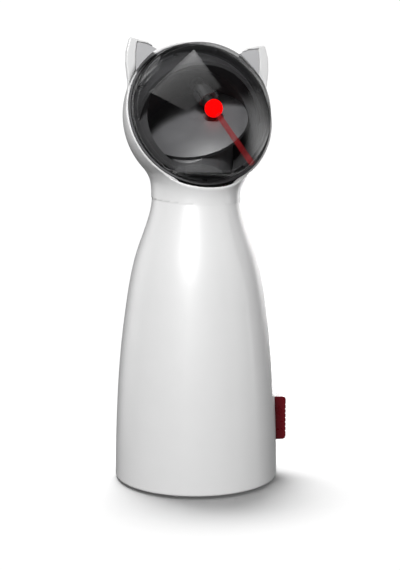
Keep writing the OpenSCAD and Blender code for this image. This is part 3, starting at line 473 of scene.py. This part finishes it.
# bearing and dip of the beam, and the laser's hinge over the dish, in millimetres
BEARING = 31.4
DIP = math.radians(49.5)
HINGE_OUT, HINGE_UP, DISH_DROP = 5.2, 13.2, 3
LENS_REACH, LENS_FRONT = 9, 3.9
DISH = Vector((0, 0, HC.z - DISH_DROP))
HINGE = rot_z(BEARING) @ Vector((0, -HINGE_OUT, 0)) + DISH + Vector((0, 0, HINGE_UP))
BEAM = rot_z(BEARING) @ Vector((0, -math.cos(DIP), -math.sin(DIP)))
LENS = HINGE + BEAM * LENS_REACH


def beam_light():
    """Red light that leaves the lens and fades at the rim of the dome."""
    length = 31.0
    start_r, end_r = 1.3, 1.4
    bm = bmesh.new()
    bmesh.ops.create_cone(bm, cap_ends=True, segments=24, radius1=start_r, radius2=end_r,
                          depth=length)
    me = bpy.data.meshes.new("beam_glow")
    bm.to_mesh(me)
    bm.free()
    o = bpy.data.objects.new("beam_glow", me)
    bpy.context.collection.objects.link(o)
    q = BEAM.to_track_quat("Z", "Y")
    o.matrix_world = (Matrix.Translation((LENS + BEAM * (LENS_FRONT + length / 2)) * MM)
                      @ q.to_matrix().to_4x4() @ Matrix.Scale(MM, 4))
    m, t, b = new_material("beam_light")
    n1, c = noise(t, 0.3, 2)
    t.links.new(two_tone(t, n1.outputs["Fac"], (0.36, 0.015, 0.02), (0.42, 0.02, 0.03)),
                b.inputs["Emission Color"])
    b.inputs["Base Color"].default_value = (0.2, 0, 0, 1)
    b.inputs["Emission Strength"].default_value = 0.5
    coords = t.nodes.new("ShaderNodeSeparateXYZ")
    t.links.new(c.outputs["Generated"], coords.inputs["Vector"])
    t.links.new(ranged(t, coords.outputs["Z"], 0.42, 0.15, 0.75, 1.0), b.inputs["Alpha"])
    b.inputs["Roughness"].default_value = 1.0
    me.materials.append(m)
    o.visible_shadow = False
    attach(o, "laser")
    return o


beam_light()


# ---------------------------------------------------------------- floor, light, camera
def plane(name, size, matrix, mat):
    me = bpy.data.meshes.new(name)
    s = size / 2
    me.from_pydata([(-s, -s, 0), (s, -s, 0), (s, s, 0), (-s, s, 0)], [], [(0, 1, 2, 3)])
    me.materials.append(mat)
    o = bpy.data.objects.new(name, me)
    o.matrix_world = matrix
    bpy.context.collection.objects.link(o)
    return o


# the floor takes the lit contact shadow near the toy; from SHADOW_IN to SHADOW_OUT it fades into a
# white glow (emission, painted light) that cuts the shadow short and covers the floor's shading further
# out
SHADOW_IN = 0.038
SHADOW_OUT = 0.098
FLOOR_WHITE = 1.05
FLOOR_SIZE = 2.4
floor_mat = moulded("floor_paint", (0.93, 0.93, 0.93), 0.7, 0.004, 40, 0.0, spec=0.0)
ft = floor_mat.node_tree
where = ft.nodes.new("ShaderNodeTexCoord")
flat = ft.nodes.new("ShaderNodeVectorMath")
flat.operation = "LENGTH"
ft.links.new(where.outputs["Object"], flat.inputs[0])
away = ft.nodes.new("ShaderNodeMapRange")
away.interpolation_type = "SMOOTHSTEP"
away.inputs["From Min"].default_value = SHADOW_IN
away.inputs["From Max"].default_value = SHADOW_OUT
ft.links.new(flat.outputs["Value"], away.inputs["Value"])
# painted light: white emission mixed over the floor's own shading, stronger away from the toy
white = ft.nodes.new("ShaderNodeEmission")
white.inputs["Strength"].default_value = FLOOR_WHITE
both = ft.nodes.new("ShaderNodeMixShader")
ft.links.new(away.outputs["Result"], both.inputs["Fac"])
ft.links.new(ft.nodes["Principled BSDF"].outputs["BSDF"], both.inputs[1])
ft.links.new(white.outputs["Emission"], both.inputs[2])
ft.links.new(both.outputs["Shader"], ft.nodes["Material Output"].inputs["Surface"])
floor = plane("floor", FLOOR_SIZE, Matrix.Identity(4), floor_mat)
floor.visible_glossy = False
floor.visible_diffuse = False

# the room: white behind the object, a soft fill from all round, little of it mirrored
FILL = 0.33
MIRRORED = 0.03
SEEN_WHITE = 1.05
world = bpy.data.worlds.new("studio")
bpy.context.scene.world = world
world.use_nodes = True
wt = world.node_tree
bg = wt.nodes["Background"]
bg.inputs["Color"].default_value = (1, 1, 1, 1)
path = wt.nodes.new("ShaderNodeLightPath")
gloss = wt.nodes.new("ShaderNodeMix")
gloss.inputs["A"].default_value = FILL
gloss.inputs["B"].default_value = MIRRORED
wt.links.new(path.outputs["Is Glossy Ray"], gloss.inputs["Factor"])
seen = wt.nodes.new("ShaderNodeMix")
seen.inputs["B"].default_value = SEEN_WHITE
# less of the fill comes from below
aim = wt.nodes.new("ShaderNodeTexCoord")
part = wt.nodes.new("ShaderNodeSeparateXYZ")
wt.links.new(aim.outputs["Generated"], part.inputs["Vector"])
lower = wt.nodes.new("ShaderNodeMapRange")
lower.inputs["From Min"].default_value = -0.6
lower.inputs["From Max"].default_value = 0.5
lower.inputs["To Min"].default_value = 0.45
lower.inputs["To Max"].default_value = 1.15
wt.links.new(part.outputs["Z"], lower.inputs["Value"])
shaded = wt.nodes.new("ShaderNodeMath")
shaded.operation = "MULTIPLY"
wt.links.new(gloss.outputs["Result"], shaded.inputs[0])
wt.links.new(lower.outputs["Result"], shaded.inputs[1])
wt.links.new(shaded.outputs["Value"], seen.inputs["A"])
wt.links.new(path.outputs["Is Camera Ray"], seen.inputs["Factor"])
wt.links.new(seen.outputs["Result"], bg.inputs["Strength"])

# camera, fitted to the photograph (400 x 570)
FOCAL_PX = 890.65
MID_X = 200
MID_Y = 285
IMAGE_H = 570
SENSOR_H = 36
EYE = Vector((-132.85, -409.84, 130.0))
cam_d = bpy.data.cameras.new("cam")
cam = bpy.data.objects.new("cam", cam_d)
bpy.context.collection.objects.link(cam)
cam_d.sensor_fit = "VERTICAL"
cam_d.sensor_height = SENSOR_H
cam_d.lens = FOCAL_PX / IMAGE_H * SENSOR_H
cam_d.clip_start = 0.01
cam.location = EYE * MM
LOOK = Vector((0.3116, 0.9465, -0.0845)).to_track_quat("-Z", "Y")
cam.rotation_euler = LOOK.to_euler()
bpy.context.scene.camera = cam
bpy.context.scene.view_settings.view_transform = "Standard"

# outer radius of the dome, in which the soft lamps are mirrored
DOME_R = 33.95


def mirrored_way(px, py):
    """Direction in which the dome mirrors the camera's line through an image point."""
    ray = (LOOK @ Vector((px - MID_X, MID_Y - py, -FOCAL_PX))).normalized()
    b = ray.dot(EYE - HC)
    c = (EYE - HC).length_squared - DOME_R ** 2
    root = b * b - c
    hit = EYE + ray * (-b - math.sqrt(max(root, 0.0)))
    n = (hit - HC).normalized()
    return (ray - 2 * ray.dot(n) * n).normalized()


def softbox(name, corners, reach, power, glow, n=12):
    """Curved soft light whose image in the dome has these corners: left, bottom, right, top.
    glow gives its strength from the place (0..1, 0..1) between the corners."""
    left, low, right, top = (Vector(p) for p in corners)
    points, strength = [], []
    for i in range(n + 1):
        for k in range(n + 1):
            u, v = i / n, k / n
            p = (left * (1 - u) * (1 - v) + low * u * (1 - v) + right * u * v + top * (1 - u) * v)
            points.append((HC + mirrored_way(p.x, p.y) * reach) * MM)
            strength.append(glow(u, v))
    quads = [(i * (n + 1) + k, (i + 1) * (n + 1) + k, (i + 1) * (n + 1) + k + 1,
              i * (n + 1) + k + 1) for i in range(n) for k in range(n)]
    me = bpy.data.meshes.new(name)
    me.from_pydata(points, [], quads)
    me.attributes.new("glow", "FLOAT", "POINT").data.foreach_set("value", strength)
    m = bpy.data.materials.new(name + "_light")
    m.use_nodes = True
    t = m.node_tree
    t.nodes.remove(t.nodes["Principled BSDF"])
    e = t.nodes.new("ShaderNodeEmission")
    a = t.nodes.new("ShaderNodeAttribute")
    a.attribute_name = "glow"
    x = t.nodes.new("ShaderNodeMath")
    x.operation = "MULTIPLY"
    x.inputs[1].default_value = power
    t.links.new(a.outputs["Fac"], x.inputs[0])
    t.links.new(x.outputs["Value"], e.inputs["Strength"])
    t.links.new(e.outputs["Emission"], t.nodes["Material Output"].inputs["Surface"])
    me.materials.append(m)
    o = bpy.data.objects.new(name, me)
    bpy.context.collection.objects.link(o)
    o.visible_camera = False
    o.visible_shadow = False
    return o


def reach(light, pieces, skip=False):
    """Limits a light to some pieces, or keeps it off them."""
    group = bpy.data.collections.new(light.name + "_reaches")
    for k, piece in enumerate(pieces):
        group.objects.link(piece)
        group.collection_objects[k].light_linking.link_state = "EXCLUDE" if skip else "INCLUDE"
    light.light_linking.receiver_collection = group


def area(name, loc, target, width, height, power):
    """Rectangular lamp that looks at a point."""
    d = bpy.data.lights.new(name, "AREA")
    d.shape = "RECTANGLE"
    d.size = width
    d.size_y = height
    d.energy = power
    o = bpy.data.objects.new(name, d)
    o.location = loc
    o.rotation_euler = (Vector(target) - Vector(loc)).to_track_quat("-Z", "Y").to_euler()
    bpy.context.collection.objects.link(o)
    return o


def down_the_window(u, v):
    """Bright at the top corner, dimmer towards the bottom corner."""
    return 0.36 + 0.95 * (1 - u) * (0.5 + 0.5 * v)


def oval(u, v):
    """Soft in every direction, as a lamp behind cloth."""
    far = min(1.0, (2 * u - 1) ** 2 + (2 * v - 1) ** 2)
    return (1 - far) ** 1.2


# places in the image, in pixels, where the dome shows each lamp: left, bottom, right, top
WINDOW_CORNERS = [(150, 92), (186, 111), (221, 87), (194, 50)]
SIDE_CORNERS = [(247, 172), (275, 172), (268, 84), (240, 84)]
LAMP_REACH = 900
window = softbox("window_light", WINDOW_CORNERS, LAMP_REACH, 1.8, down_the_window)
reach(window, [nodes["dome"]])
side = softbox("side_light", SIDE_CORNERS, LAMP_REACH, 1.0, oval)
reach(side, [nodes["dome"]])

# lamps in metres and watts: name, place, aim, width, height, power
MID = (0, 0, 0.11)
HEAD = (0, 0, 0.18)
FLOOR_LAMP = ("over_floor", (0.0, 0.72, 1.25), (0, 0, 0), 1.2, 0.7, 27)
# "front" is the tall soft light beside the camera that draws the upright sheen
BODY_LAMPS = [
    ("front", (-0.52, -0.85, 0.76), MID, 0.36, 0.40, 13),
    ("front_low", (-0.66, -0.88, 0.26), MID, 0.20, 0.55, 0.7),
    ("right_rim", (0.62, 0.78, 0.16), MID, 0.5, 0.7, 17),
    ("left_rim", (-0.72, 0.66, 0.16), MID, 0.5, 0.7, 1.6),
    ("right_fill", (0.95, -0.30, 0.25), MID, 0.6, 0.6, 2.2),
]
KEEP_OFF = [nodes["dome"], floor]
TURRET = [nodes[n] for n in ("dish", "turret_cup", "laser_arm")]
SEAT = [nodes[n] for n in ("mask", "bezel_ring")]
# the pieces under the dome have small lamps of their own
INNER_LAMPS = [
    (("inside_low", (-0.22, -0.62, -0.10), (0, 0, 0.165), 0.16, 0.16, 7), TURRET + SEAT),
    (("inside_high", (-0.18, -0.42, 0.64), HEAD, 0.14, 0.14, 17), TURRET),
    (("seat_high", (-0.34, -0.50, 0.58), HEAD, 0.18, 0.18, 8), SEAT),
]
reach(area(*FLOOR_LAMP), [floor])
for lamp in BODY_LAMPS:
    reach(area(*lamp), KEEP_OFF, skip=True)
for lamp, pieces in INNER_LAMPS:
    reach(area(*lamp), pieces)
